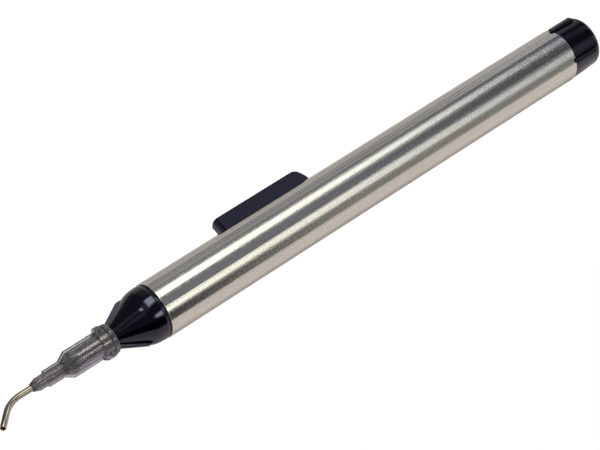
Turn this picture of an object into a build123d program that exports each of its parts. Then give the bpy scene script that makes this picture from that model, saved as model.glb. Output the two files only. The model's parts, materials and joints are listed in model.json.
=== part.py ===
from build123d import *
from math import acos, atan2, cos, degrees, hypot, pi, radians, sin, sqrt, tan
import os

os.makedirs("parts", exist_ok=True)

# A vacuum pick up pen with a squeeze bulb inside a steel tube. Millimetres throughout.
# The pen is first built along X with the tube's front edge at x = 0, the tail towards +X
# and the button on top, towards +Z. At the end it is laid down as it comes to rest.
# Angles round the barrel are counted from the button, right-handed about +X.

# Barrel: a stainless tube with a slot for the button
barrel_d = 13.5
barrel_wall = 0.5
barrel_len = 126.4
barrel_edge = 0.12
barrel_r = barrel_d / 2
barrel_in_r = barrel_r - barrel_wall
glue_gap = 0.04

# Push button: a pad that stands through the slot, on a wider inner flange
button_front = 25.1
button_len = 26.1
button_w = 4.5
button_proud = 3.65
button_travel = 2.2
button_ramp = 20.0
button_draft = 3.0
button_nose_r = 1.6
button_corner = 0.8
button_edge = 0.3
button_ramp_edge = 1.8
slot_gap = 0.2
flange_lip = 1.6
flange_gap = 0.1
button_top = barrel_r + button_proud

# Squeeze bulb: a closed rubber bulb with a neck that grips the nozzle's stem
bulb_d = 8.0
bulb_wall = 0.9
bulb_start = 5.0
bulb_len = 52.0
bulb_gap = 0.15
neck_wall = 1.1
neck_len = 7.5
neck_slope = 2.5
bulb_r = bulb_d / 2

# Bulb cradle: a moulded half sleeve that backs the bulb against the far wall
cradle_gap = 0.1
cradle_wall = 1.2
cradle_rib_w = 1.2
cradle_rib_step = 50.0
cradle_end_wall = 1.4
cradle_clear = 0.4
cradle_r = barrel_in_r - cradle_gap

# Luer nozzle: a turned metal tip with the 6 % luer cone and a plain stem
luer_slope = 0.03
luer_mouth_r = 2.145
luer_len = 9.2
nozzle_bore_r = 0.8
stem_r = 1.5
seat_len = 5.5

# Nose cone: one black moulding with a spigot in the barrel and four ribs
nose_len = 11.8
nose_step = 0.1
nose_corner_at = 3.7
nose_corner_drop = 0.22
nose_blend_r = 6.0
nose_edge_len = 0.9
nose_edge_drop = 0.32
nose_lip = 0.05
nose_wall = 1.2
spigot_len = 7.0
nose_rib_w = 0.85
nose_rib_h = 0.75
nose_rib_top_r = 6.05
nose_rib_start = 0.2
nose_rib_turn = 11.0

# Tail cap: a ribbed plug with a rounded rim
cap_len = 8.9
cap_step = 0.1
cap_taper = 0.3
cap_rim = 1.2
cap_wall = 1.3
plug_len = 8.0
cap_rib_w = 1.25
cap_rib_h = 0.6
cap_rib_len = 7.2
cap_rib_lap = 0.25
cap_rib_edge = 0.35
cap_rib_lift = 0.02
cap_rib_turn = 58.0

# Needle hub: a clear luer hub with two lugs, a stepped core and four wings
hub_flange_d = 7.2
hub_flange_t = 1.1
lug_span = 7.83
lug_w = 4.2
lug_t = 1.4
lug_at = 2.1
lug_lead = 5.0
collar_d = 6.1
collar_end = 3.4
core_d = 5.2
core_end = 10.9
tip_core_d = 3.06
tip_core_start = 13.2
hub_len = 21.3
hub_front_r = 0.95
hub_front_cone = 1.6
wing_w = 0.8
wing_d = 6.5
wing_end = 11.4
tip_wing_d = 3.9
tip_wing_start = 13.5
tip_wing_end = 17.5
wing_end_slope = 0.35
luer_clear = 0.02
luer_depth = 10.0
wing_turn = 49.0
lug_turn = 33.0

# Needle: a bent blunt stainless tube bonded in the hub
needle_d = 1.47
needle_wall = 0.2
needle_straight = 2.9
needle_bend_r = 7.2
needle_bend = 44.0
needle_end = 4.4
needle_turn = 168.0
needle_r = needle_d / 2

# How far a rib or wing reaches into the wall that carries it, so that they fuse
root = 0.4

# Sizes that follow from those above
nose_shoulder_r = barrel_r - nose_step
nose_corner_r = nose_shoulder_r - nose_corner_drop
nose_front_r = luer_mouth_r - nose_lip
nose_slope = (nose_corner_r - nose_front_r) / (nose_len - nose_corner_at)
nose_lean = hypot(1, nose_slope)
stem_end = bulb_start - neck_slope
flange_z = bulb_r + bulb_gap
cradle_top = flange_z - button_travel - cradle_clear

# Where the middle corner of a round drawn as two chamfers lies, as a share of its radius
rim_step = 1 - sqrt(0.5)


def around_x(points):
    """Revolve a closed outline of (x, radius) points about the pen's axis."""
    outline = make_face(Polyline(*[(x, 0, r) for x, r in points], close=True))
    return revolve(outline, Axis.X, 360)


def rod(x0, x1, r):
    """A round rod along the pen's axis."""
    return Pos(x0, 0, 0) * extrude(Plane.YZ * Circle(r), x1 - x0)


def flat_round(before, corner, after, radius):
    """Two points that cut a corner off between the ends of its round."""
    back = Vector(before[0] - corner[0], before[1] - corner[1]).normalized()
    ahead = Vector(after[0] - corner[0], after[1] - corner[1]).normalized()
    reach = radius / tan(radians(back.get_angle(ahead)) / 2)
    return [(corner[0] + side.X * reach, corner[1] + side.Y * reach) for side in (back, ahead)]


def fin(points, width, turn):
    """A flat rib from an outline of (x, radius) points, turned about the axis."""
    outline = make_face(Polyline(*[(x, 0, r) for x, r in points], close=True))
    return Rot(X=turn) * extrude(outline, width / 2, both=True)


def button_plan(gap):
    """The button in plan, well rounded in front, grown by a gap."""
    block = Pos(button_front + button_len / 2, 0) * Rectangle(button_len + 2 * gap, button_w + 2 * gap)
    block = fillet(block.vertices().sort_by(Axis.X)[:2], button_nose_r + gap)
    return fillet(block.vertices().sort_by(Axis.X)[-2:], button_corner + gap)


def make_barrel():
    """Thin steel tube with broken edges and the button's slot."""
    tube = rod(0, barrel_len, barrel_r) - rod(0, barrel_len, barrel_in_r)
    rims = tube.edges().filter_by(GeomType.CIRCLE).filter_by(lambda e: abs(e.radius - barrel_r) < 1e-4)
    tube = chamfer(rims, barrel_edge)
    return tube - extrude(button_plan(slot_gap), barrel_d)


def nose_radius(ahead):
    """Radius of the nose's straight cone at a distance ahead of the tube."""
    return nose_front_r + (nose_len - ahead) * nose_slope


def make_nose_cone():
    """Blended cone, hollow behind, with four ribs along it."""
    spigot_r = barrel_in_r - glue_gap
    shoulder = (-nose_edge_len, nose_shoulder_r)
    front = (-nose_len, nose_front_r)
    blend = flat_round(shoulder, (-nose_corner_at, nose_corner_r), front, nose_blend_r)
    rear = [(-nose_len, 0), (spigot_len, 0), (spigot_len, spigot_r), (0, spigot_r)]
    body = around_x([(0, nose_shoulder_r - nose_edge_drop), shoulder] + blend + [front] + rear)
    rib_lift = nose_rib_h * nose_lean
    rib_front = nose_len - nose_rib_start
    rib_flat = nose_len - (nose_rib_top_r - rib_lift - nose_front_r) / nose_slope
    rib_rear = nose_corner_at / 2
    rib = [
        (-rib_front, nose_front_r - root),
        (-rib_front, nose_radius(rib_front) + rib_lift),
        (-rib_flat, nose_rib_top_r),
        (-rib_rear, nose_rib_top_r),
        (-rib_rear, nose_corner_r - nose_wall),
    ]
    for k in range(4):
        body += fin(rib, nose_rib_w, nose_rib_turn + 90 * k)
    hollow_r = spigot_r - nose_wall
    throat = nose_len - seat_len
    hollow = around_x([
        (spigot_len, 0),
        (spigot_len, hollow_r),
        (0, hollow_r),
        (-throat, nose_radius(throat) - nose_wall * nose_lean),
        (-throat, 0),
    ])
    return body - hollow - rod(-nose_len, spigot_len, stem_r)


def make_luer_nozzle():
    """Luer cone and a stem through the nose into the bulb's neck, bored through."""
    tip_r = luer_mouth_r - luer_slope * luer_len
    tip_x = -nose_len - luer_len
    return around_x([
        (tip_x, nozzle_bore_r),
        (tip_x, tip_r),
        (-nose_len, luer_mouth_r),
        (-nose_len, stem_r),
        (stem_end, stem_r),
        (stem_end, nozzle_bore_r),
    ])


def make_squeeze_bulb():
    """Rubber bulb: neck, shoulder, straight body and closed end."""
    neck_x = stem_end - neck_len
    neck_r = stem_r + neck_wall
    end = bulb_start + bulb_len
    return around_x([
        (neck_x, stem_r),
        (neck_x, neck_r),
        (stem_end, neck_r),
        (bulb_start, bulb_r),
        (end, bulb_r),
        (end, 0),
        (end - bulb_wall, 0),
        (end - bulb_wall, bulb_r - bulb_wall),
        (bulb_start, bulb_r - bulb_wall),
        (bulb_start, stem_r),
    ])


def make_bulb_cradle():
    """Half sleeve behind the bulb, with saddle ribs and an end wall."""
    x0 = spigot_len
    x1 = bulb_start + bulb_len + bulb_gap + cradle_end_wall
    sleeve = rod(x0, x1, cradle_r) - rod(x0, x1, cradle_r - cradle_wall)
    saddle_r = bulb_r + bulb_gap
    for step in (-cradle_rib_step, 0, cradle_rib_step):
        foot_r = cradle_r - root
        rib = [(x0, bulb_r - root), (x0, foot_r), (x1, foot_r), (x1, bulb_r - root)]
        sleeve += fin(rib, cradle_rib_w, 180 + step)
    sleeve += rod(x1 - cradle_end_wall, x1, cradle_r)
    sleeve -= rod(x0, x1 - cradle_end_wall, saddle_r)
    upper = Pos((x0 + x1) / 2, 0, cradle_top + barrel_r) * Box(x1 - x0 + barrel_d, barrel_d, barrel_d)
    return sleeve - upper


def make_push_button():
    """Pad with a rounded front end and a ramped tail, on its inner flange."""
    x0 = button_front
    x1 = button_front + button_len
    foot_z = sqrt(barrel_r ** 2 - (button_w / 2) ** 2)
    ramp_x = x1 - (button_top - foot_z) * tan(radians(button_ramp))
    side = make_face(Polyline(
        (x0, 0, flange_z),
        (x0, 0, button_top),
        (ramp_x, 0, button_top),
        (x1, 0, foot_z),
        (x1, 0, flange_z),
        close=True,
    ))
    ramp_top = side.vertices().sort_by(lambda v: hypot(v.X - ramp_x, v.Z - button_top))[0]
    side = fillet(ramp_top, button_ramp_edge)
    pad = Pos(0, 0, flange_z) * extrude(button_plan(0), button_top - flange_z, taper=button_draft)
    top = pad.faces().sort_by(Axis.Z)[-1]
    pad = chamfer(top.edges(), button_edge) & extrude(side, button_w / 2, both=True)
    flange = rod(x0 - flange_lip, x1 + flange_lip, barrel_in_r - flange_gap)
    keep_h = barrel_r - flange_z
    keep = Pos((x0 + x1) / 2, 0, flange_z + keep_h / 2) * Box(button_len + 2 * flange_lip, barrel_d, keep_h)
    return pad + (flange & keep)


def make_tail_cap():
    """Plug and rounded cap in one moulding, with four ribs over the tube's edge."""
    front_r = barrel_r - cap_step
    rear_r = front_r - cap_taper
    plug_r = barrel_in_r - glue_gap
    end = barrel_len + cap_len
    body = around_x([
        (barrel_len - plug_len, 0),
        (barrel_len - plug_len, plug_r),
        (barrel_len, plug_r),
        (barrel_len, front_r),
        (end - cap_rim, rear_r),
        (end - cap_rim * rim_step, rear_r - cap_rim * rim_step),
        (end, rear_r - cap_rim),
        (end, 0),
    ])
    top_r = barrel_r + cap_rib_h
    base_r = rear_r - cap_rim
    lap_r = barrel_r + cap_rib_lift
    rib_end = barrel_len + cap_rib_len
    rib = [
        (barrel_len - cap_rib_lap, lap_r),
        (barrel_len - cap_rib_lap, top_r),
        (rib_end - cap_rib_h, top_r),
        (rib_end, rear_r),
        (rib_end, base_r),
        (barrel_len, base_r),
        (barrel_len, lap_r),
    ]
    for k in range(4):
        bar = fin(rib, cap_rib_w, 0)
        upper = bar.edges().group_by(Axis.Z)[-1]
        bar = chamfer(upper.filter_by(Axis.X), cap_rib_edge)
        body += Rot(X=cap_rib_turn + 90 * k) * bar
    hollow = rod(barrel_len - plug_len, end - cap_wall - cap_rim, plug_r - cap_wall)
    return body - hollow


def make_needle_hub():
    """Flange, two luer lugs, stepped core, four wings and the luer socket."""
    x0 = -nose_len
    core = around_x([
        (x0, 0),
        (x0, hub_flange_d / 2),
        (x0 - hub_flange_t, hub_flange_d / 2),
        (x0 - hub_flange_t, collar_d / 2),
        (x0 - collar_end, collar_d / 2),
        (x0 - collar_end, core_d / 2),
        (x0 - core_end, core_d / 2),
        (x0 - tip_core_start, tip_core_d / 2),
        (x0 - hub_len + hub_front_cone, tip_core_d / 2),
        (x0 - hub_len, hub_front_r),
        (x0 - hub_len, 0),
    ])
    wing_foot_r = tip_core_d / 2 - root
    wing = [
        (x0 - hub_flange_t, wing_foot_r),
        (x0 - hub_flange_t, wing_d / 2),
        (x0 - wing_end, wing_d / 2),
        (x0 - tip_wing_start, tip_wing_d / 2),
        (x0 - tip_wing_end, tip_wing_d / 2),
        (x0 - tip_wing_end - wing_end_slope, wing_foot_r),
    ]
    for k in range(4):
        core += fin(wing, wing_w, wing_turn + 90 * k)
    helix = degrees(atan2(lug_lead, lug_span * pi))
    for k in range(2):
        ear = Pos(0, 0, lug_span / 4) * Rot(Z=-helix) * Box(lug_t, lug_w, lug_span / 2)
        ear = ear & rod(-lug_w, lug_w, lug_span / 2)
        core += Pos(x0 - lug_at, 0, 0) * Rot(X=lug_turn + 180 * k) * ear
    socket_r = luer_mouth_r + luer_clear
    socket = around_x([
        (x0, 0),
        (x0, socket_r),
        (x0 - luer_depth, socket_r - luer_slope * luer_depth),
        (x0 - luer_depth, 0),
    ])
    return core - socket - rod(x0 - hub_len, x0 - luer_depth, needle_r)


def needle_path():
    """Centre line of the needle, in the plane of its bend."""
    tangent = needle_bend_r * tan(radians(needle_bend) / 2)
    start = -nose_len - luer_depth
    corner = -nose_len - hub_len - needle_straight - tangent
    reach = tangent + needle_end
    tip_x = corner - reach * cos(radians(needle_bend))
    tip_z = reach * sin(radians(needle_bend))
    return FilletPolyline((start, 0, 0), (corner, 0, 0), (tip_x, 0, tip_z), radius=needle_bend_r)


def make_needle_tube():
    """Bent tube, blunt at the tip."""
    path = needle_path()
    ends = Plane(path @ 0, x_dir=(0, 1, 0), z_dir=path % 0)
    ring = ends * (Circle(needle_r) - Circle(needle_r - needle_wall))
    return Rot(X=needle_turn) * sweep(ring, path)


# Resting turn: a tail rib and the barrel's lowest line both touch the floor
rib_high = barrel_r + cap_rib_h
rib_wide = cap_rib_w / 2 - cap_rib_edge
rest_rib = degrees(acos(barrel_r / hypot(rib_high, rib_wide)) + atan2(rib_wide, rib_high))
button_angle = 270 - rest_rib - (180 + cap_rib_turn)

pieces = {
    "barrel": make_barrel(),
    "nose_cone": make_nose_cone(),
    "luer_nozzle": make_luer_nozzle(),
    "squeeze_bulb": make_squeeze_bulb(),
    "bulb_cradle": make_bulb_cradle(),
    "push_button": make_push_button(),
    "tail_cap": make_tail_cap(),
    "needle_hub": make_needle_hub(),
    "needle_tube": make_needle_tube(),
}

# Lay the pen down: turn the button to its resting angle, stand the barrel on z = 0
# and centre the whole over the origin
laid = {name: Pos(0, 0, barrel_r) * Rot(X=button_angle - 90) * piece for name, piece in pieces.items()}
boxes = [piece.bounding_box() for piece in laid.values()]
middle_x = (min(box.min.X for box in boxes) + max(box.max.X for box in boxes)) / 2
middle_y = (min(box.min.Y for box in boxes) + max(box.max.Y for box in boxes)) / 2
for name, piece in laid.items():
    export_step(Pos(-middle_x, -middle_y, 0) * piece, f"parts/{name}.step")

print("button angle", button_angle)
print("front edge of the barrel at x", -middle_x, "axis at y", -middle_y, "z", barrel_r)
print("lowest point", min(box.min.Z for box in boxes))
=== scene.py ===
import json
import logging
from dataclasses import dataclass, field
from enum import Enum
from math import acos, atan2, cos, hypot, pi, radians, sin, sqrt, tan

import bpy
from mathutils import Matrix, Vector


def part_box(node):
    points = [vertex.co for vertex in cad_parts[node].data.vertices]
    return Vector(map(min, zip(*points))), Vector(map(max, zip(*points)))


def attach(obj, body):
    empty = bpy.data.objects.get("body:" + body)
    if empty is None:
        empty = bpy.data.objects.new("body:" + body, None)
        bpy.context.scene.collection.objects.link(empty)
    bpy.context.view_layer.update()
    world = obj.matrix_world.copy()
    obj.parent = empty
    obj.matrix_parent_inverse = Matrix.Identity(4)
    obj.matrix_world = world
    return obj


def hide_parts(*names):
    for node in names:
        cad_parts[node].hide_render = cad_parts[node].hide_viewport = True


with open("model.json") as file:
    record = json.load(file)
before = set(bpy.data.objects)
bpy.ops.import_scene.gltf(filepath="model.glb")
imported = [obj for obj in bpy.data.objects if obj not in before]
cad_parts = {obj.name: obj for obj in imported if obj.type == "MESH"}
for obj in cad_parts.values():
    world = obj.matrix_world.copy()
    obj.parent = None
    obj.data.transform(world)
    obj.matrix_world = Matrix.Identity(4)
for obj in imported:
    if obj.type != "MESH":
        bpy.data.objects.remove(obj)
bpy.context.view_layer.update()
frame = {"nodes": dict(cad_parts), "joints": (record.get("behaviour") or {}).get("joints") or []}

LOG = logging.getLogger("pen")
MM = 0.001
Corner = tuple[float, float, float]
Point = tuple[float, float]
Span = tuple[float, float]


class Ends(Enum):
    """How the ends of a turned outline are closed."""

    SOLID = "discs at both ends"
    RING = "the last ring joins the first"


class Cut(Enum):
    """What a tool piece does to the piece that it meets."""

    ADD = "UNION"
    TAKE = "DIFFERENCE"
    KEEP = "INTERSECT"


class Axis(Enum):
    """The axis that a flat outline is extruded along."""

    X = "X"
    Y = "Y"
    Z = "Z"

    def lift(self, across: float, up: float, height: float) -> Corner:
        """Put a point of a flat outline in space.

        Args:
            across: the point's first number.
            up: its second number.
            height: how far along this axis it lies.

        Returns:
            Its x, y and z.
        """
        spots = {Axis.X: (height, across, up), Axis.Y: (across, height, up), Axis.Z: (across, up, height)}
        return spots[self]


def linear(hex_colour: str) -> tuple[float, float, float, float]:
    """Turn an sRGB hex colour into linear light.

    Args:
        hex_colour: six hex digits with a leading hash.

    Returns:
        Linear red, green, blue and an alpha of 1.
    """
    digits = hex_colour.lstrip("#")
    levels = [int(digits[k:k + 2], 16) / 255 for k in (0, 2, 4)]
    parts = [v / 12.92 if v <= 0.04045 else ((v + 0.055) / 1.055) ** 2.4 for v in levels]
    return (*parts, 1.0)


def add_node(tree: bpy.types.NodeTree, kind: str, sockets: dict | None = None,
             **settings: object) -> bpy.types.Node:
    """Add a node with its settings, socket values and links.

    Args:
        tree: the node tree that takes it.
        kind: the node's type without its ShaderNode prefix.
        sockets: input name or number to a value or an output socket.
        settings: the node's own attributes.

    Returns:
        The new node.
    """
    node = tree.nodes.new("ShaderNode" + kind)
    for key, value in settings.items():
        setattr(node, key, value)
    for key, value in (sockets or {}).items():
        if isinstance(value, bpy.types.NodeSocket):
            tree.links.new(value, node.inputs[key])
        else:
            node.inputs[key].default_value = value
    return node


def rounded(corners: list[Corner], steps: int, closed: bool = True) -> list[Point]:
    """Turn a cornered outline into one with round corners.

    Args:
        corners: x, y and the rounding radius of each corner in turn.
        steps: straight bits in each round.
        closed: whether the last corner joins the first.

    Returns:
        The outline's points.
    """
    points: list[Point] = []
    count = len(corners)
    for k, (x, y, radius) in enumerate(corners):
        if radius == 0 or (not closed and k in (0, count - 1)):
            points.append((x, y))
            continue
        here = Vector((x, y))
        back = (Vector(corners[k - 1][:2]) - here).normalized()
        ahead = (Vector(corners[(k + 1) % count][:2]) - here).normalized()
        half = acos(max(-1.0, min(1.0, back.dot(ahead)))) / 2
        centre = here + (back + ahead).normalized() * radius / sin(half)
        first = here + back * radius / tan(half) - centre
        last = here + ahead * radius / tan(half) - centre
        start = atan2(first.y, first.x)
        sweep = (atan2(last.y, last.x) - start + pi) % (2 * pi) - pi
        for step in range(steps + 1):
            turn = start + sweep * step / steps
            points.append((centre.x + radius * cos(turn), centre.y + radius * sin(turn)))
    return points


class Bench:
    """Modelling steps in the pen's own millimetres: X to the tail, Z to the button."""

    SAME_PLACE = 1e-4

    @staticmethod
    def turned(name: str, outline: list[Point], ends: Ends, sides: int) -> bpy.types.Object:
        """Turn an outline about the pen's axis.

        Args:
            name: the object's name.
            outline: x and radius of each ring in turn.
            ends: how the first and last ring are closed.
            sides: straight bits round the axis.

        Returns:
            The turned object.
        """
        x, radius = outline[0]
        fill = "NGON" if ends is Ends.SOLID else "NOTHING"
        bpy.ops.mesh.primitive_circle_add(vertices=sides, radius=radius, fill_type=fill,
                                          location=(x, 0, 0), rotation=(0, pi / 2, 0))
        obj = bpy.context.object
        obj.name = name
        bpy.ops.object.transform_apply(location=True, rotation=True, scale=True)
        bpy.ops.object.mode_set(mode="EDIT")
        bpy.ops.mesh.select_all(action="SELECT")
        for next_x, next_radius in outline[1:]:
            bpy.ops.mesh.extrude_region_move(TRANSFORM_OT_translate={"value": (next_x - x, 0, 0)})
            grow = next_radius / radius
            bpy.ops.transform.resize(value=(1, grow, grow), center_override=(next_x, 0, 0))
            x, radius = next_x, next_radius
        if ends is Ends.RING:
            bpy.ops.mesh.select_all(action="SELECT")
            bpy.ops.mesh.select_mode(type="EDGE")
            bpy.ops.mesh.select_all(action="DESELECT")
            bpy.ops.mesh.select_non_manifold()
            bpy.ops.mesh.bridge_edge_loops()
            bpy.ops.mesh.select_mode(type="VERT")
        Bench.close()
        return obj

    @staticmethod
    def close() -> None:
        """Point the open mesh's faces outwards and leave edit mode."""
        bpy.ops.mesh.select_all(action="SELECT")
        bpy.ops.mesh.normals_make_consistent(inside=False)
        bpy.ops.object.mode_set(mode="OBJECT")

    @staticmethod
    def slab(name: str, outline: list[Point], low: float, high: float, axis: Axis,
             far: list[Point] | None = None) -> bpy.types.Object:
        """Extrude a flat outline.

        Args:
            name: the object's name.
            outline: the outline's points; in x and z for axis Y, x and y for Z, y and z for X.
            low: where the slab starts along the axis.
            high: where it ends.
            axis: the axis that it is extruded along.
            far: the outline at the far end, where it is another one.

        Returns:
            The slab.
        """
        bpy.ops.mesh.primitive_circle_add(vertices=len(outline), radius=1, fill_type="NGON")
        obj = bpy.context.object
        obj.name = name
        for vertex, (a, b) in zip(obj.data.vertices, outline):
            vertex.co = axis.lift(a, b, low)
        bpy.ops.object.mode_set(mode="EDIT")
        bpy.ops.mesh.select_all(action="SELECT")
        bpy.ops.mesh.extrude_region_move(TRANSFORM_OT_translate={"value": axis.lift(0, 0, high - low)})
        Bench.close()
        if far:
            ends = {k: Vector(axis.lift(a, b, high)) for k, (a, b) in enumerate(outline)}
            for vertex in obj.data.vertices:
                match = min(ends, key=lambda k: (ends[k] - vertex.co).length)
                if (ends[match] - vertex.co).length < Bench.SAME_PLACE:
                    vertex.co = axis.lift(*far[match], high)
        return obj

    @staticmethod
    def spin(obj: bpy.types.Object, degrees: float) -> bpy.types.Object:
        """Turn a piece about the pen's axis.

        Args:
            obj: the piece.
            degrees: the angle, right-handed about X.

        Returns:
            The same piece.
        """
        obj.matrix_world = Matrix.Rotation(radians(degrees), 4, "X") @ obj.matrix_world
        Bench.only(obj)
        bpy.ops.object.transform_apply(location=True, rotation=True, scale=True)
        return obj

    @staticmethod
    def only(obj: bpy.types.Object) -> None:
        """Select one object and make it active.

        Args:
            obj: the object.
        """
        bpy.ops.object.select_all(action="DESELECT")
        obj.select_set(True)
        bpy.context.view_layer.objects.active = obj

    @staticmethod
    def modify(obj: bpy.types.Object, kind: str, **settings: object) -> None:
        """Add a modifier to a piece and apply it.

        Args:
            obj: the piece.
            kind: the modifier's type.
            settings: its own attributes.
        """
        Bench.only(obj)
        bpy.ops.object.modifier_add(type=kind)
        step = obj.modifiers[-1]
        for key, value in settings.items():
            setattr(step, key, value)
        bpy.ops.object.modifier_apply(modifier=step.name)

    @staticmethod
    def soften(obj: bpy.types.Object, width: float, steps: int = 3, angle: float = 35.0) -> bpy.types.Object:
        """Round a piece's sharp edges.

        Args:
            obj: the piece.
            width: the rounding's width.
            steps: straight bits across it.
            angle: edges sharper than this are rounded.

        Returns:
            The same piece.
        """
        Bench.modify(obj, "BEVEL", width=width, segments=steps, limit_method="ANGLE",
                     angle_limit=radians(angle))
        return obj

    @staticmethod
    def combine(obj: bpy.types.Object, tool: bpy.types.Object, cut: Cut) -> bpy.types.Object:
        """Join two solids, or cut one with the other.

        Args:
            obj: the piece that stays.
            tool: the piece that is used up.
            cut: what the tool does.

        Returns:
            The piece that stays.
        """
        Bench.modify(obj, "BOOLEAN", operation=cut.value, solver="EXACT", object=tool)
        Bench.only(tool)
        bpy.ops.object.delete()
        return obj

    @staticmethod
    def fin(outline: list[Point], width: float, turn: float, edge: float) -> bpy.types.Object:
        """Make a flat rib with soft edges, turned about the axis.

        Args:
            outline: x and radius of its corners.
            width: its thickness.
            turn: its angle from the button.
            edge: rounding of its edges.

        Returns:
            The rib.
        """
        rib = Bench.slab("rib", outline, -width / 2, width / 2, Axis.Y)
        return Bench.spin(Bench.soften(rib, edge), turn)


class PenFrame:
    """Where the pen lies in the world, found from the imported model."""

    def __init__(self) -> None:
        """Read the tube's front end, its axis and the way that the button faces."""
        low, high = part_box("barrel")
        press = next(joint for joint in frame["joints"] if joint["name"] == "button_press")
        along = Vector((1, 0, 0))
        out = -Vector(press["axis"]).normalized()
        side = out.cross(along)
        self.front = Vector((low[0], (low[1] + high[1]) / 2, (low[2] + high[2]) / 2))
        turn = Matrix((along, side, out)).transposed().to_4x4()
        self.matrix = Matrix.Translation(self.front) @ turn @ Matrix.Scale(MM, 4)

    def place(self, obj: bpy.types.Object, node: str, body: str, slot: str,
              finish: bpy.types.Material, angle: float = 30.0) -> None:
        """Lay a finished piece where its CAD node is.

        Args:
            obj: the piece, in the pen's own millimetres.
            node: the CAD node that it stands for.
            body: the body that it moves with.
            slot: the record's material slot; not used.
            finish: its material.
            angle: edges sharper than this stay crisp.
        """
        obj.matrix_world = self.matrix @ obj.matrix_world
        Bench.only(obj)
        bpy.ops.object.transform_apply(location=True, rotation=True, scale=True)
        bpy.ops.object.shade_smooth_by_angle(angle=radians(angle))
        Bench.modify(obj, "WEIGHTED_NORMAL", keep_sharp=True)
        obj.data.materials.clear()
        obj.data.materials.append(finish)
        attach(obj, body)
        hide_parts(node)
        LOG.info("%s stands for %s and has %d faces", obj.name, node, len(obj.data.polygons))


@dataclass(frozen=True)
class Piece:
    """A piece of the pen that stands for a CAD node. Its sizes are in millimetres."""

    node: str = ""
    body: str = "pen"
    slot: str = "black_plastic"

    def model(self) -> bpy.types.Object:
        """Build the piece's mesh."""
        raise NotImplementedError

    def build(self, pen_frame: PenFrame, finish: bpy.types.Material) -> None:
        """Model the piece, and lay and dress it where its CAD node is.

        Args:
            pen_frame: where the pen lies.
            finish: its material.
        """
        pen_frame.place(self.model(), self.node, self.body, self.slot, finish)


@dataclass(frozen=True)
class Barrel(Piece):
    """The steel tube."""

    node: str = "barrel"
    slot: str = "steel_tube"
    radius: float = 6.75
    wall: float = 0.5
    length: float = 126.4
    edge: float = 0.14
    sides: int = 256

    @property
    def inner(self) -> float:
        """Inner radius of the tube."""
        return self.radius - self.wall

    def model(self) -> bpy.types.Object:
        """Turn the tube with its rounded rims and cut the button's slot.

        Returns:
            The tube.
        """
        outline = rounded([
            (0, self.inner, self.edge), (0, self.radius, self.edge),
            (self.length, self.radius, self.edge), (self.length, self.inner, self.edge)], steps=3)
        tube = Bench.turned("steel_barrel", outline, Ends.RING, self.sides)
        slot = Bench.slab("slot", BUTTON.plan(BUTTON.slot_gap), 0, 2 * self.radius, Axis.Z)
        return Bench.combine(tube, slot, Cut.TAKE)


@dataclass(frozen=True)
class PushButton(Piece):
    """The long button and the flange that holds it inside the tube."""

    node: str = "push_button"
    body: str = "button"
    front: float = 25.1
    length: float = 26.1
    width: float = 4.5
    proud: float = 3.65
    ramp: float = 20.0
    draft: float = 3.0
    nose_r: float = 1.6
    corner: float = 0.8
    edge: float = 0.3
    ramp_edge: float = 1.8
    slot_gap: float = 0.2
    flange_lip: float = 1.6
    flange_r: float = 6.15
    flange_z: float = 4.15
    spare: float = 0.5
    margin: float = 1.0
    hair: float = 0.01
    arch_steps: int = 12

    def plan(self, gap: float) -> list[Point]:
        """Outline of the button seen from above.

        Args:
            gap: how much the outline is grown all round.

        Returns:
            The outline's points.
        """
        x0 = self.front - gap
        x1 = self.front + self.length + gap
        half = self.width / 2 + gap
        nose_r, corner = self.nose_r + gap, self.corner + gap
        return rounded([(x0, -half, nose_r), (x1, -half, corner),
                        (x1, half, corner), (x0, half, nose_r)], steps=8)

    def model(self) -> bpy.types.Object:
        """Draw the tapered pad, trim it to its side view, and add its flange.

        Returns:
            The button.
        """
        x0, x1 = self.front, self.front + self.length
        top = BARREL.radius + self.proud
        foot = sqrt(BARREL.radius ** 2 - (self.width / 2) ** 2)
        ramp_x = x1 - (top - foot) * tan(radians(self.ramp))
        blank_top, blank_foot = top + self.spare, self.flange_z - self.margin
        inset = (blank_top - self.flange_z) * tan(radians(self.draft))
        pad = Bench.slab("button_pad", self.plan(0), self.flange_z, blank_top, Axis.Z, self.plan(-inset))
        side = rounded([
            (x0 - self.margin, blank_foot, 0), (x0 - self.margin, top, 0), (ramp_x, top, self.ramp_edge),
            (x1 + self.hair, foot, 0), (x1 + self.hair, blank_foot, 0)], steps=8)
        half = self.width / 2 + self.margin
        pad = Bench.combine(pad, Bench.slab("side", side, -half, half, Axis.Y), Cut.KEEP)
        Bench.soften(pad, self.edge, steps=4, angle=40)
        reach = acos(self.flange_z / self.flange_r)
        turns = [reach * k / self.arch_steps for k in range(-self.arch_steps, self.arch_steps + 1)]
        arch = [(self.flange_r * sin(turn), self.flange_r * cos(turn)) for turn in turns]
        flange = Bench.slab("flange", arch, x0 - self.flange_lip, x1 + self.flange_lip, Axis.X)
        return Bench.combine(pad, flange, Cut.ADD)


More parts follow.
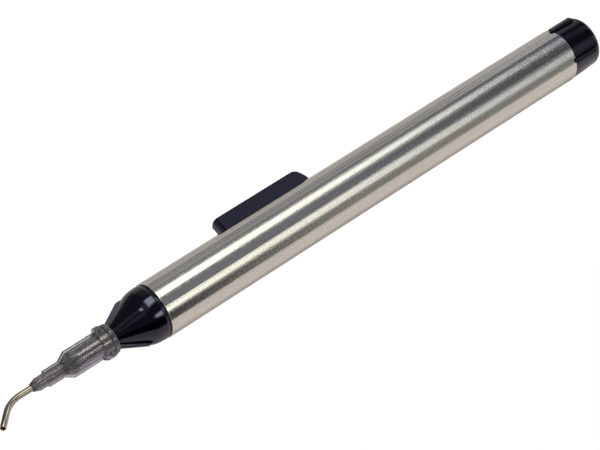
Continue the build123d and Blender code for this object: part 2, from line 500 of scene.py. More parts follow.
@dataclass(frozen=True)
class NoseCone(Piece):
    """The black cone ahead of the tube, with its spigot inside it."""

    node: str = "nose_cone"
    length: float = 11.8
    shoulder_r: float = 6.65
    edge_len: float = 0.9
    edge_drop: float = 0.32
    corner_at: float = 3.7
    corner_r: float = 6.43
    blend_r: float = 6.0
    front_r: float = 2.095
    spigot: float = 7.0
    spigot_r: float = 6.21
    hollow_r: float = 5.01
    bore_r: float = 1.5
    bore_len: float = 5.5
    wall: float = 1.2
    rim: float = 0.1
    shoulder_round: float = 1.2
    mouth_round: float = 0.12
    sides: int = 192
    ribs: int = 4
    rib_w: float = 0.85
    rib_h: float = 0.75
    rib_top_r: float = 6.05
    rib_start: float = 0.2
    rib_turn: float = 11.0
    rib_edge: float = 0.12
    rib_root: float = 0.4

    def model(self) -> bpy.types.Object:
        """Turn the hollow cone and add the ribs that run out on its shoulder.

        Returns:
            The cone.
        """
        slope = (self.corner_r - self.front_r) / (self.length - self.corner_at)
        lean = hypot(1, slope)
        throat = self.length - self.bore_len
        throat_r = self.front_r + (self.length - throat) * slope - self.wall * lean
        outline = rounded([
            (self.spigot, self.hollow_r, 0), (self.spigot, self.spigot_r, self.rim),
            (0, self.spigot_r, 0), (0, self.shoulder_r - self.edge_drop, self.rim),
            (-self.edge_len, self.shoulder_r, self.shoulder_round),
            (-self.corner_at, self.corner_r, self.blend_r),
            (-self.length, self.front_r, self.mouth_round),
            (-self.length, self.bore_r, 0), (-throat, self.bore_r, 0),
            (-throat, throat_r, 0), (0, self.hollow_r, 0)], steps=5)
        cone = Bench.turned("nose_moulding", outline, Ends.RING, self.sides)
        lift = self.rib_h * lean
        front = self.length - self.rib_start
        front_r = self.front_r + (self.length - front) * slope + lift
        flat = self.length - (self.rib_top_r - lift - self.front_r) / slope
        rear = self.corner_at / 2
        rib = [(-front, self.front_r - self.rib_root), (-front, front_r),
               (-flat, self.rib_top_r), (-rear, self.rib_top_r), (-rear, self.corner_r - self.wall)]
        for k in range(self.ribs):
            fin = Bench.fin(rib, self.rib_w, self.rib_turn + 360 / self.ribs * k, self.rib_edge)
            Bench.combine(cone, fin, Cut.ADD)
        return cone


@dataclass(frozen=True)
class TailCap(Piece):
    """The black cap behind the tube, with its plug inside it."""

    node: str = "tail_cap"
    length: float = 8.9
    front_r: float = 6.65
    rear_r: float = 6.35
    rim: float = 1.2
    eye: float = 1.0
    plug: float = 8.0
    plug_r: float = 6.21
    plug_round: float = 0.2
    step_round: float = 0.1
    hollow_r: float = 4.91
    floor: float = 2.5
    sides: int = 192
    ribs: int = 4
    rib_w: float = 1.25
    rib_h: float = 0.6
    rib_len: float = 7.2
    rib_lap: float = 0.25
    rib_edge: float = 0.35
    rib_lift: float = 0.02
    rib_turn: float = 58.0

    def model(self) -> bpy.types.Object:
        """Turn the plug and the rounded cap, and add the ribs that lap over the tube.

        Returns:
            The cap.
        """
        start, end = BARREL.length, BARREL.length + self.length
        outline = rounded([
            (end - self.floor, self.hollow_r, 0), (start - self.plug, self.hollow_r, 0),
            (start - self.plug, self.plug_r, self.plug_round), (start, self.plug_r, 0),
            (start, self.front_r, self.step_round), (end, self.rear_r, self.rim),
            (end, self.eye, 0)], steps=9, closed=False)
        cap = Bench.turned("cap_moulding", outline, Ends.SOLID, self.sides)
        top = BARREL.radius + self.rib_h
        root = self.rear_r - self.rim
        lap = BARREL.radius + self.rib_lift
        tail = start + self.rib_len
        rib = [(start - self.rib_lap, lap), (start - self.rib_lap, top), (tail - self.rib_h, top),
               (tail, self.rear_r), (tail, root), (start, root), (start, lap)]
        for k in range(self.ribs):
            fin = Bench.fin(rib, self.rib_w, self.rib_turn + 360 / self.ribs * k, self.rib_edge / 2)
            Bench.combine(cap, fin, Cut.ADD)
        return cap


@dataclass(frozen=True)
class NeedleHub(Piece):
    """The see-through hub ahead of the nose cone."""

    node: str = "needle_hub"
    body: str = "needle"
    slot: str = "smoke_plastic"
    eye: float = 1.0
    flange_r: float = 3.6
    flange_t: float = 1.1
    lugs: int = 2
    lug_r: float = 3.915
    lug_w: float = 4.2
    lug_t: float = 1.4
    lug_at: float = 2.1
    lug_lead: float = 5.0
    lug_turn: float = 33.0
    lug_spare: float = 1.0
    lug_trim: tuple[float, float] = (-8.0, 4.0)
    collar_r: float = 3.05
    collar_end: float = 3.4
    core_r: float = 2.6
    core_end: float = 10.9
    core_round: float = 1.0
    tip_r: float = 1.53
    tip_start: float = 13.2
    tip_round: float = 0.8
    length: float = 21.3
    front_r: float = 0.95
    front_cone: float = 1.6
    front_round: float = 0.3
    front_edge: float = 0.05
    front_eye: float = 0.3
    socket_r: float = 2.165
    socket_len: float = 10.0
    socket_slope: float = 0.03
    wings: int = 4
    wing_w: float = 0.8
    wing_r: float = 3.25
    wing_root: float = 0.4
    wing_sink: float = 0.2
    wing_end: float = 11.4
    tip_wing_r: float = 1.95
    tip_wing_start: float = 13.5
    tip_wing_end: float = 17.5
    wing_slope: float = 0.35
    wing_turn: float = 49.0
    edge: float = 0.1
    spare: float = 1.0
    sides: int = 96
    hole_sides: int = 48

    def turned_body(self, x0: float) -> bpy.types.Object:
        """Turn the flange, the collar and the stepped core.

        Args:
            x0: where the hub meets the nose.

        Returns:
            The body.
        """
        edge = self.edge
        outline = rounded([
            (x0, self.eye, 0), (x0, self.flange_r, 2 * edge),
            (x0 - self.flange_t, self.flange_r, 2 * edge), (x0 - self.flange_t, self.collar_r, 0),
            (x0 - self.collar_end, self.collar_r, edge), (x0 - self.collar_end, self.core_r, 0),
            (x0 - self.core_end, self.core_r, self.core_round),
            (x0 - self.tip_start, self.tip_r, self.tip_round),
            (x0 - self.length + self.front_cone, self.tip_r, self.front_round),
            (x0 - self.length, self.front_r, self.front_edge),
            (x0 - self.length, self.front_eye, 0)], steps=4, closed=False)
        return Bench.turned("hub_moulding", outline, Ends.SOLID, self.sides)

    def wing_pieces(self, x0: float) -> list[bpy.types.Object]:
        """Make the wings that step down with the core and fade into it.

        Args:
            x0: where the hub meets the nose.

        Returns:
            The wings.
        """
        root = self.tip_r - self.wing_root
        start = x0 - self.flange_t + self.wing_sink
        wing = [(start, root), (start, self.wing_r),
                (x0 - self.wing_end, self.wing_r), (x0 - self.tip_wing_start, self.tip_wing_r),
                (x0 - self.tip_wing_end, self.tip_wing_r),
                (x0 - self.tip_wing_end - self.wing_slope, root)]
        return [Bench.fin(wing, self.wing_w, self.wing_turn + 360 / self.wings * k, self.edge)
                for k in range(self.wings)]

    def lug_pieces(self, x0: float) -> list[bpy.types.Object]:
        """Make the lugs, slanted as a thread is and trimmed round.

        Args:
            x0: where the hub meets the nose.

        Returns:
            The lugs.
        """
        lean = atan2(self.lug_lead, 2 * self.lug_r * pi)
        half_t, half_w = self.lug_t / 2, self.lug_w / 2
        flat = [(-half_t, -half_w), (half_t, -half_w), (half_t, half_w), (-half_t, half_w)]
        plan = [(x * cos(lean) + y * sin(lean) + x0 - self.lug_at, y * cos(lean) - x * sin(lean))
                for x, y in flat]
        pieces = []
        for k in range(self.lugs):
            lug = Bench.slab("lug", plan, self.tip_r, self.lug_r + self.lug_spare, Axis.Z)
            trim = [(x0 + reach, self.lug_r) for reach in self.lug_trim]
            Bench.combine(lug, Bench.turned("bar", trim, Ends.SOLID, self.sides), Cut.KEEP)
            turn = self.lug_turn + 360 / self.lugs * k
            pieces.append(Bench.spin(Bench.soften(lug, self.edge), turn))
        return pieces

    def model(self) -> bpy.types.Object:
        """Fuse the body with its wings and lugs, and cut the socket and the needle's hole.

        Returns:
            The hub.
        """
        x0 = -NOSE.length
        hub = self.turned_body(x0)
        for extra in self.wing_pieces(x0) + self.lug_pieces(x0):
            Bench.combine(hub, extra, Cut.ADD)
        socket_end = self.socket_r - self.socket_slope * self.socket_len
        cone = [(x0 + self.spare, self.socket_r), (x0, self.socket_r), (x0 - self.socket_len, socket_end)]
        Bench.combine(hub, Bench.turned("socket", cone, Ends.SOLID, self.sides), Cut.TAKE)
        hole = [(x0, NEEDLE.radius), (x0 - self.length - self.spare, NEEDLE.radius)]
        return Bench.combine(hub, Bench.turned("hole", hole, Ends.SOLID, self.hole_sides), Cut.TAKE)


@dataclass(frozen=True)
class Needle(Piece):
    """The bent blunt needle."""

    node: str = "needle_tube"
    body: str = "needle"
    slot: str = "needle_steel"
    radius: float = 0.735
    wall: float = 0.2
    straight: float = 2.9
    bend_r: float = 7.2
    bend: float = 44.0
    end: float = 4.4
    turn: float = 168.0
    rim: float = 0.04
    sides: int = 64
    bend_steps: int = 28

    def model(self) -> bpy.types.Object:
        """Draw the needle from inside the hub round its bend, and give it its wall.

        Returns:
            The needle.
        """
        start = -NOSE.length - HUB.socket_len
        bend_x = -NOSE.length - HUB.length - self.straight
        bpy.ops.mesh.primitive_circle_add(vertices=self.sides, radius=self.radius, fill_type="NOTHING",
                                          location=(start, 0, 0), rotation=(0, pi / 2, 0))
        tube = bpy.context.object
        tube.name = "bent_needle"
        bpy.ops.object.transform_apply(location=True, rotation=True, scale=True)
        bpy.ops.object.mode_set(mode="EDIT")
        bpy.ops.mesh.select_all(action="SELECT")
        bpy.ops.mesh.extrude_region_move(TRANSFORM_OT_translate={"value": (bend_x - start, 0, 0)})
        bend = radians(self.bend)
        bpy.ops.mesh.spin(steps=self.bend_steps, angle=bend, center=(bend_x, 0, self.bend_r),
                          axis=(0, -1, 0))
        tip = Vector((-cos(bend), 0, sin(bend))) * self.end
        bpy.ops.mesh.extrude_region_move(TRANSFORM_OT_translate={"value": tip})
        Bench.close()
        Bench.modify(tube, "SOLIDIFY", thickness=self.wall, offset=-1.0)
        Bench.soften(tube, self.rim, steps=2, angle=60)
        return Bench.spin(tube, self.turn)


BARREL, BUTTON, NOSE, CAP, HUB, NEEDLE = (
    Barrel(), PushButton(), NoseCone(), TailCap(), NeedleHub(), Needle())


@dataclass(frozen=True)
class Finish:
    """What all finishes share. Patterns lie on Object coordinates, with scales per millimetre."""

    name: str

    def material(self) -> bpy.types.Material:
        """Build the finish.

        Returns:
            Its material.
        """
        made = bpy.data.materials.new(self.name)
        made.use_nodes = True
        made.node_tree.nodes.clear()
        self.fill(made.node_tree)
        LOG.info("finish %s has %d nodes", self.name, len(made.node_tree.nodes))
        return made

    def fill(self, tree: bpy.types.NodeTree) -> None:
        """Add the finish's own nodes.

        Args:
            tree: the material's empty tree.
        """
        raise NotImplementedError

    @staticmethod
    def close(tree: bpy.types.NodeTree, sockets: dict, inside: dict | None = None) -> None:
        """Add the main shader and the output.

        Args:
            tree: the material's tree.
            sockets: the main shader's values and links.
            inside: the output's other links, where it has them.
        """
        skin = add_node(tree, "BsdfPrincipled", sockets)
        add_node(tree, "OutputMaterial", {"Surface": skin.outputs[0], **(inside or {})})

    @staticmethod
    def noise(tree: bpy.types.NodeTree, vector: bpy.types.NodeSocket, detail: float,
              span: Span = (0.0, 1.0)) -> bpy.types.NodeSocket:
        """Noise stretched to a range.

        Args:
            tree: the material's tree.
            vector: where to read it.
            detail: how many finer layers.
            span: values at the noise's low and high end.

        Returns:
            The value's socket.
        """
        raw = add_node(tree, "TexNoise", {"Vector": vector, "Scale": 1.0, "Detail": detail}).outputs[0]
        return add_node(tree, "MapRange", {"Value": raw, "From Min": 0.3, "From Max": 0.7,
                                           "To Min": span[0], "To Max": span[1]}).outputs[0]

    @staticmethod
    def grain(tree: bpy.types.NodeTree, per_mm: float, detail: float,
              span: Span = (0.0, 1.0)) -> bpy.types.NodeSocket:
        """Noise that is alike in every direction.

        Args:
            tree: the material's tree.
            per_mm: how many spots go to a millimetre.
            detail: how many finer layers.
            span: values at the noise's low and high end.

        Returns:
            The value's socket.
        """
        place = add_node(tree, "TexCoord").outputs["Object"]
        fine = add_node(tree, "VectorMath", {0: place, "Scale": per_mm / MM}, operation="SCALE").outputs[0]
        return Finish.noise(tree, fine, detail, span)


@dataclass(frozen=True)
class GroundSteel(Finish):
    """Stainless steel tube, drawn and then ground: a soft mirror with fine marks round it.

    The real marks are a few hundredths of a millimetre wide, too fine to show, so they are
    drawn 0.4 mm wide and 0.6 mm long. The scores along the tube are drawn 0.3 mm wide for the
    same reason. Three dark lines of painted reflection, painted into the colour at fixed angles
    round the tube, run among them.
    """

    axis: Vector = field(default_factory=Vector)
    dull: str = "#B0AFAE"
    clean: str = "#DCDBD8"
    # Painted reflection: the colour of three dark lines painted at fixed angles round the tube
    painted_reflection_line: str = "#303030"
    marks: tuple[float, float] = (2.8, 1.6)
    marks_depth: tuple[float, float] = (0.8, 0.00001)
    scores: tuple[float, float] = (0.012, 3.0)
    scores_depth: tuple[float, float] = (0.3, 0.00002)
    # Painted reflection: angles, width and patchy strength of the dark lines painted into the steel's colour
    painted_reflection_angles: tuple[tuple[float, float], ...] = ((18.75, 0.6), (10.75, 0.35), (2.75, 0.25))
    painted_reflection_width: tuple[float, float] = (0.06, 0.2)
    painted_reflection_patches: tuple[float, float] = (0.06, 0.0)
    painted_reflection_strength_span: tuple[float, float] = (0.3, 1.0)
    cloud: tuple[float, float] = (0.5, 0.5)
    rough_span: tuple[float, float] = (0.10, 0.16)

    def unrolled(self, tree: bpy.types.NodeTree, scales: tuple[float, float]) -> bpy.types.NodeSocket:
        """Position on the tube's unrolled skin, in millimetres times two scales.

        Args:
            tree: the material's tree.
            scales: along the pen and round it.

        Returns:
            The vector's socket.
        """
        along, around = scales
        place = add_node(tree, "TexCoord").outputs["Object"]
        local = add_node(tree, "VectorMath", {0: place, 1: self.axis}, operation="SUBTRACT").outputs[0]
        parts = add_node(tree, "SeparateXYZ", {0: local}).outputs
        turn = add_node(tree, "Math", {0: parts["Y"], 1: parts["Z"]}, operation="ARCTAN2").outputs[0]
        x = add_node(tree, "Math", {0: parts["X"], 1: along / MM}, operation="MULTIPLY").outputs[0]
        y = add_node(tree, "Math", {0: turn, 1: around * BARREL.radius}, operation="MULTIPLY").outputs[0]
        return add_node(tree, "CombineXYZ", {0: x, 1: y}).outputs[0]

    def painted_reflection_lines(self, tree: bpy.types.NodeTree, tint: bpy.types.NodeSocket) -> bpy.types.NodeSocket:
        """Paint the dark lines of reflection that run along the tube, stronger in some places.

        Args:
            tree: the material's tree.
            tint: the steel's colour without them.

        Returns:
            The colour with them.
        """
        around = add_node(tree, "SeparateXYZ", {0: self.unrolled(tree, (1.0, 1.0))}).outputs["Y"]
        painted_reflection_patchiness = self.noise(tree, self.unrolled(tree, self.painted_reflection_patches), 1.0, self.painted_reflection_strength_span)
        for angle, depth in self.painted_reflection_angles:
            off = add_node(tree, "Math", {0: around, 1: radians(angle) * BARREL.radius},
                           operation="SUBTRACT").outputs[0]
            off = add_node(tree, "Math", {0: off}, operation="ABSOLUTE").outputs[0]
            painted_reflection_line = add_node(tree, "MapRange", {"Value": off, "From Min": self.painted_reflection_width[0],
                                               "From Max": self.painted_reflection_width[1],
                                               "To Min": depth, "To Max": 0.0}).outputs[0]
            painted_reflection_line = add_node(tree, "Math", {0: painted_reflection_line, 1: painted_reflection_patchiness}, operation="MULTIPLY").outputs[0]
            tint = add_node(tree, "Mix", {0: painted_reflection_line, 6: tint, 7: linear(self.painted_reflection_line)},
                            data_type="RGBA").outputs[2]
        return tint

    def fill(self, tree: bpy.types.NodeTree) -> None:
        """Add marks that dull the steel and catch the light, painted reflection lines, and uneven shine.

        Args:
            tree: the material's empty tree.
        """
        marks = self.noise(tree, self.unrolled(tree, self.marks), 2.0)
        scores = self.noise(tree, self.unrolled(tree, self.scores), 2.0)
        bump = add_node(tree, "Bump", {"Height": marks, "Strength": self.marks_depth[0],
                                       "Distance": self.marks_depth[1]}).outputs[0]
        bump = add_node(tree, "Bump", {"Height": scores, "Strength": self.scores_depth[0],
                                       "Distance": self.scores_depth[1], "Normal": bump}).outputs[0]
        worn = add_node(tree, "Math", {0: marks, 1: scores}, operation="ADD").outputs[0]
        worn = add_node(tree, "MapRange", {"Value": worn, "From Max": 2.0}).outputs[0]
        tint = add_node(tree, "Mix", {0: worn, 6: linear(self.dull), 7: linear(self.clean)},
                        data_type="RGBA").outputs[2]
        # Painted reflection: dark lines of reflected edges, painted into the steel's colour
        tint = self.painted_reflection_lines(tree, tint)
        rough = self.noise(tree, self.unrolled(tree, self.cloud), 4.0, self.rough_span)
        self.close(tree, {"Base Color": tint, "Metallic": 1.0, "Roughness": rough, "Normal": bump})


@dataclass(frozen=True)
class MouldedPlastic(Finish):
    """Injection-moulded plastic or rubber: a deep colour under a clean, cool sheen.

    Its grain is drawn 0.4 mm wide, because the real one is too fine to show.
    """

    colour: str = "#000000"
    rough: float = 0.1
    shine: float = 0.5
    sheen_tint: str = "#CCD2FF"
    grain_per_mm: float = 2.5
    grain_depth: tuple[float, float] = (0.15, 0.00002)

    def fill(self, tree: bpy.types.NodeTree) -> None:
        """Add the grain and the shader.

        Args:
            tree: the material's empty tree.
        """
        bump = add_node(tree, "Bump", {"Height": self.grain(tree, self.grain_per_mm, 2.0),
                                       "Strength": self.grain_depth[0],
                                       "Distance": self.grain_depth[1]}).outputs[0]
        self.close(tree, {"Base Color": linear(self.colour), "Roughness": self.rough, "Normal": bump,
                          "Specular IOR Level": self.shine, "Specular Tint": linear(self.sheen_tint)})


@dataclass(frozen=True)
class BareMetal(Finish):
    """Drawn or turned metal, bare or nickel plated: bright, with faintly uneven shine.

    Its tool marks are too fine to show, so spots 1.1 mm wide stand for them.
    """

    colour: str = "#FFFFFF"
    rough: float = 0.1
    uneven: float = 0.05
    spots_per_mm: float = 0.9

    def fill(self, tree: bpy.types.NodeTree) -> None:
        """Add the uneven shine and the shader.

        Args:
            tree: the material's empty tree.
        """
        rough = self.grain(tree, self.spots_per_mm, 3.0, (self.rough - self.uneven, self.rough + self.uneven))
        self.close(tree, {"Base Color": linear(self.colour), "Metallic": 1.0, "Roughness": rough})


@dataclass(frozen=True)
class SmokyPlastic(Finish):
    """Clear moulded polypropylene dyed smoke grey: light comes through it, darker where it is thick.

    The mould's faint ripple is drawn 0.8 mm wide, as coarse as it needs to show.
    """

    colour: str = "#D2D0DA"
    rough: float = 0.09
    index: float = 1.45
    clear: float = 0.88
    smoke: str = "#9896A2"
    density: float = 800.0
    ripple_per_mm: float = 1.2
    ripple_depth: tuple[float, float] = (0.2, 0.00004)

    def fill(self, tree: bpy.types.NodeTree) -> None:
        """Add the moulded ripple, the clear shader and the smoke inside it.

        Args:
            tree: the material's empty tree.
        """
        bump = add_node(tree, "Bump", {"Height": self.grain(tree, self.ripple_per_mm, 2.0),
                                       "Strength": self.ripple_depth[0],
                                       "Distance": self.ripple_depth[1]}).outputs[0]
        depth = add_node(tree, "VolumeAbsorption", {"Color": linear(self.smoke), "Density": self.density})
        self.close(tree, {"Base Color": linear(self.colour), "Roughness": self.rough, "IOR": self.index,
                          "Transmission Weight": self.clear, "Normal": bump},
                   {"Volume": depth.outputs[0]})


@dataclass(frozen=True)
class Sheet(Finish):
    """Matt white paper under the pen. The camera sees it white, with the pen's shadow.

    Other rays see the paper as it lies under the lights, with a painted glow of its own, dimmer
    ahead of the pen, with painted shade where it fades behind the pen, far past it and close to
    it, as the tube and the plastic reflect it.
    """

    matt: str = "#D6CDCB"
    painted_glow_colour: str = "#FFF4F0"
    # Painted light and shade: levels of the paper's painted glow ahead of the pen, behind it and far past it
    ahead: tuple[Span, Span] = ((-0.05, -0.012), (0.35, 0.40))
    behind: tuple[Span, Span] = ((0.006, 0.014), (1.0, 0.42))
    beyond: tuple[Span, Span] = ((0.022, 0.055), (1.0, 0.38))
    shade_reach: float = 0.008
    shade_power: float = 0.85
    seen_shade: str = "#808080"
    seen_light: float = 0.96
    front: float = 0.0485
    skew: float = -0.07
    reach: float = 1.0

    def lay(self) -> None:
        bpy.ops.mesh.primitive_plane_add(size=1.0)
        floor = bpy.context.object
        floor.name = "floor"
        for vertex in floor.data.vertices:
            x = self.reach if vertex.co.x > 0 else -self.reach
            y = self.reach if vertex.co.y > 0 else self.skew * x - self.front
            vertex.co = (x, y, 0.0)
        floor.data.materials.append(self.material())

    def fill(self, tree: bpy.types.NodeTree) -> None:
        """Add the paper as other rays and as the camera's rays see it.

        Args:
            tree: the material's empty tree.
        """
        matt = add_node(tree, "BsdfDiffuse", {"Color": linear(self.matt)}).outputs[0]
        place = add_node(tree, "TexCoord").outputs["Object"]
        depth = add_node(tree, "SeparateXYZ", {0: place}).outputs["Y"]
        # Painted shade: ambient occlusion and the bands by depth dim the painted glow close to the pen and
        # round it
        painted_contact_shade_ao = add_node(tree, "AmbientOcclusion", {"Distance": self.shade_reach}, samples=4).outputs["AO"]
        level = add_node(tree, "Math", {0: painted_contact_shade_ao, 1: self.shade_power}, operation="POWER").outputs[0]
        for (first, last), (before, after) in (self.ahead, self.behind, self.beyond):
            part = add_node(tree, "MapRange", {"Value": depth, "From Min": first, "From Max": last,
                                               "To Min": before, "To Max": after}).outputs[0]
            level = add_node(tree, "Math", {0: level, 1: part}, operation="MULTIPLY").outputs[0]
        # Painted glow: the paper's own emission, which the tube and the plastic reflect
        own = add_node(tree, "Emission", {"Color": linear(self.painted_glow_colour), "Strength": level}).outputs[0]
        paper = add_node(tree, "AddShader", {0: matt, 1: own}).outputs[0]
        dim = add_node(tree, "BsdfDiffuse", {"Color": linear(self.seen_shade)}).outputs[0]
        glow = add_node(tree, "Emission", {"Color": (1, 1, 1, 1), "Strength": self.seen_light}).outputs[0]
        bright = add_node(tree, "AddShader", {0: dim, 1: glow}).outputs[0]
        path = add_node(tree, "LightPath").outputs
        seen = add_node(tree, "Math", {0: path["Is Camera Ray"], 1: path["Is Transmission Ray"]},
                        operation="MAXIMUM").outputs[0]
        mix = add_node(tree, "MixShader", {0: seen, 1: paper, 2: bright}).outputs[0]
        add_node(tree, "OutputMaterial", {"Surface": mix})


@dataclass(frozen=True)
class Lamp:
    """One long soft light of the studio, as it shows round the pen's axis.

    Angles are in degrees about X, from +Y over the top. Spans along the pen are given in the
    X part of a unit direction: the light rises over its first span, is near times as strong
    before near_span, fades to left times its strength, with far_colour, over its fade, and is
    shut but for a little past the pen's cap. Lean, flare and blur move its middle, width and
    soft edge with that X part.
    """

    middle: float
    width: float
    soft: float
    strength: float
    colour: str
    rise: Span
    fade: Span
    left: float
    far_colour: str
    lean: float = 0.0
    flare: float = 0.0
    near: float = 1.0
    blur: float = 0.0
    near_span: Span = (0.28, 0.36)
    shut: Span = (0.62, 0.66)
    shut_left: float = 0.15
    before_rise: float = 0.05
    least_soft: float = 4.0

    def shine(self, tree: bpy.types.NodeTree, turn: bpy.types.NodeSocket,
              along: bpy.types.NodeSocket) -> bpy.types.NodeSocket:
        """Add the light to the world.

        Args:
            tree: the world's tree.
            turn: angle of a direction about the pen, in radians.
            along: X part of that direction.

        Returns:
            The light's shader.
        """
        middle = add_node(tree, "Math", {0: along, 1: radians(self.lean), 2: radians(self.middle)},
                          operation="MULTIPLY_ADD").outputs[0]
        off = add_node(tree, "Math", {0: turn, 1: middle}, operation="SUBTRACT").outputs[0]
        off = add_node(tree, "Math", {0: off, 1: -pi, 2: pi}, operation="WRAP").outputs[0]
        off = add_node(tree, "Math", {0: off}, operation="ABSOLUTE").outputs[0]
        half = add_node(tree, "Math", {0: along, 1: radians(self.flare / 2), 2: radians(self.width / 2)},
                        operation="MULTIPLY_ADD").outputs[0]
        inside = add_node(tree, "Math", {0: half, 1: off}, operation="SUBTRACT").outputs[0]
        soft = add_node(tree, "Math", {0: along, 1: radians(self.blur / 2), 2: radians(self.soft / 2)},
                        operation="MULTIPLY_ADD").outputs[0]
        soft = add_node(tree, "Math", {0: soft, 1: radians(self.least_soft)}, operation="MAXIMUM").outputs[0]
        hard = add_node(tree, "Math", {0: soft, 1: -1.0}, operation="MULTIPLY").outputs[0]
        across = add_node(tree, "MapRange", {"Value": inside, "From Min": hard, "From Max": soft},
                          interpolation_type="SMOOTHSTEP").outputs[0]
        level = add_node(tree, "Math", {0: across, 1: self.strength}, operation="MULTIPLY").outputs[0]
        spans = ((self.rise, (self.before_rise, 1.0)), (self.near_span, (self.near, 1.0)),
                 (self.fade, (1.0, self.left)), (self.shut, (1.0, self.shut_left)))
        for (first, last), (before, after) in spans:
            part = add_node(tree, "MapRange", {
                "Value": along, "From Min": first, "From Max": last,
                "To Min": before, "To Max": after}, interpolation_type="SMOOTHSTEP").outputs[0]
            level = add_node(tree, "Math", {0: level, 1: part}, operation="MULTIPLY").outputs[0]
        faded = add_node(tree, "MapRange", {
            "Value": along, "From Min": self.fade[0], "From Max": self.fade[1]},
            interpolation_type="SMOOTHSTEP").outputs[0]
        tint = add_node(tree, "Mix", {0: faded, 6: linear(self.colour), 7: linear(self.far_colour)},
                        data_type="RGBA").outputs[2]
        return add_node(tree, "Background", {"Color": tint, "Strength": level}).outputs[0]


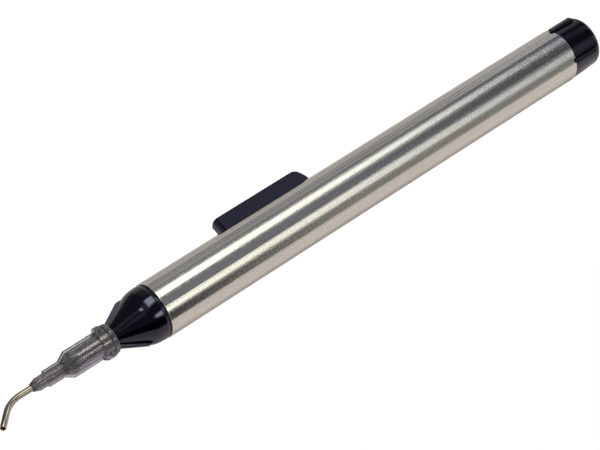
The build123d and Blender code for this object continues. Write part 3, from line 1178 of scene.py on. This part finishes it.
@dataclass(frozen=True)
class Studio:
    """Camera and lights; the sheet that the pen lies on is laid by Sheet."""

    room: Lamp = Lamp(
        middle=74.0, width=168.0, soft=16.0, strength=0.27, colour="#F6F7FF",
        rise=(-1.2, -1.1), fade=(0.50, 0.575), left=0.32, far_colour="#F6F7FF", near=0.5)
    overhead: Lamp = Lamp(
        middle=89.2, width=31.0, soft=-16.0, strength=1.80, colour="#FFFEEC",
        rise=(-0.05, 0.15), fade=(0.50, 0.565), left=0.14, far_colour="#CFE0FF",
        lean=-22.0, flare=-14.0, near=3.4, blur=62.0)
    front_strip: Lamp = Lamp(
        middle=145.3, width=3.3, soft=-16.0, strength=1.40, colour="#FFFEE8",
        rise=(-0.05, 0.15), fade=(0.45, 0.575), left=0.40, far_colour="#FAFFFF",
        flare=42.0, near=4.4, blur=62.0)
    far_wall: Lamp = Lamp(
        middle=7.5, width=23.0, soft=8.0, strength=0.33, colour="#FFF8EC",
        rise=(0.1, 0.3), fade=(0.54, 0.557), left=1.7, far_colour="#FFFCF8")
    shelf: Lamp = Lamp(
        middle=50.6, width=30.0, soft=9.0, strength=0.17, colour="#FFF8EC",
        rise=(0.1, 0.3), fade=(0.54, 0.557), left=3.0, far_colour="#FFFCF8", lean=-30.0)
    low_front: Lamp = Lamp(
        middle=180.0, width=46.0, soft=14.0, strength=0.02, colour="#F4F6FF",
        rise=(-0.4, -0.05), fade=(0.408, 0.45), left=16.5, far_colour="#FFFBF2")
    tail_side: tuple[Span, Span] = ((-0.67, -0.58), (0.45, -1.0))
    tip_side: tuple[Span, Span] = ((0.64, 0.67), (1.0, 0.45))
    photo_width: float = 600
    photo_focus: float = 2251.0
    sensor: float = 36.0
    nearest: float = 0.01
    camera_from_tube: Corner = (-193.997, -251.411, 376.192)
    camera_look: Corner = (0.46216, 0.49071, -0.73865)
    camera_up: Corner = (0.47457, 0.56678, 0.67346)

    def camera(self, pen_frame: PenFrame) -> None:
        """Set the camera where the photograph was taken from.

        Args:
            pen_frame: where the pen lies.
        """
        bpy.ops.object.camera_add()
        camera = bpy.context.object
        camera.data.sensor_width = self.sensor
        camera.data.lens = self.photo_focus * self.sensor / self.photo_width
        camera.data.clip_start = self.nearest
        look = Vector(self.camera_look).normalized()
        side = look.cross(Vector(self.camera_up)).normalized()
        turn = Matrix((side, side.cross(look), -look)).transposed().to_4x4()
        place = pen_frame.front + Vector(self.camera_from_tube) * MM
        camera.matrix_world = Matrix.Translation(place) @ turn
        bpy.context.scene.camera = camera

    def world(self) -> None:
        """Light the scene by a dim room with long soft lights along the pen."""
        world = bpy.data.worlds.new("studio")
        bpy.context.scene.world = world
        world.use_nodes = True
        tree = world.node_tree
        tree.nodes.clear()
        aim = add_node(tree, "TexCoord").outputs["Generated"]
        axes = add_node(tree, "SeparateXYZ", {0: aim}).outputs
        turn = add_node(tree, "Math", {0: axes["Z"], 1: axes["Y"]}, operation="ARCTAN2").outputs[0]
        # Past both ends of the pen the room is lit as beside its middle, so steel stays steel from there
        along = axes["X"]
        for (spot, value), pick in ((self.tail_side, "MAXIMUM"), (self.tip_side, "MINIMUM")):
            other = add_node(tree, "MapRange", {"Value": axes["X"], "From Min": spot[0], "From Max": spot[1],
                                                "To Min": value[0], "To Max": value[1]}).outputs[0]
            along = add_node(tree, "Math", {0: along, 1: other}, operation=pick).outputs[0]
        total = self.room.shine(tree, turn, along)
        for lamp in (self.overhead, self.front_strip, self.far_wall, self.shelf, self.low_front):
            more = lamp.shine(tree, turn, along)
            total = add_node(tree, "AddShader", {0: total, 1: more}).outputs[0]
        white = add_node(tree, "Background", {"Color": (1, 1, 1, 1), "Strength": 1.0}).outputs[0]
        seen = add_node(tree, "LightPath").outputs["Is Camera Ray"]
        mix = add_node(tree, "MixShader", {0: seen, 1: total, 2: white}).outputs[0]
        add_node(tree, "OutputWorld", {"Surface": mix})


def dress(node: str, material: bpy.types.Material) -> None:
    """Give a CAD node that stays as it is a finish.

    Args:
        node: the node's name.
        material: its finish.
    """
    for slot in frame["nodes"][node].material_slots:
        slot.material = material
    LOG.info("%s keeps its own solid", node)


def main() -> None:
    """Build the picture."""
    bpy.context.scene.view_settings.view_transform = "Standard"
    pen_frame = PenFrame()
    studio = Studio()
    studio.camera(pen_frame)
    studio.world()
    Sheet("white paper").lay()
    # A polished mould leaves near-black plastic with sharp, cool highlights
    black = MouldedPlastic("gloss black ABS", "#04050A", 0.10, 0.6).material()
    # A finely sparked mould leaves a broader, softer sheen on the blue-black button
    navy = MouldedPlastic("satin blue-black ABS", "#0B0D1E", 0.2, 0.6).material()
    # Drawing leaves the thin needle bright and a little warm
    needle_steel = BareMetal("drawn stainless needle", "#A39C90", 0.10).material()
    steel = GroundSteel("ground stainless tube", pen_frame.front).material()
    smoke = SmokyPlastic("smoky clear polypropylene").material()
    BARREL.build(pen_frame, steel)
    NOSE.build(pen_frame, black)
    CAP.build(pen_frame, black)
    BUTTON.build(pen_frame, navy)
    HUB.build(pen_frame, smoke)
    NEEDLE.build(pen_frame, needle_steel)
    # Plated over turned brass, the nozzle is a pale, soft shape inside the hub
    dress("luer_nozzle", BareMetal("nickel-plated brass", "#C9C4B4", 0.22).material())
    # Moulded rubber is dull, with hardly a highlight
    dress("squeeze_bulb", MouldedPlastic("dull black rubber", "#141414", 0.6, 0.3).material())
    dress("bulb_cradle", black)


if __name__ == "__main__":
    main()
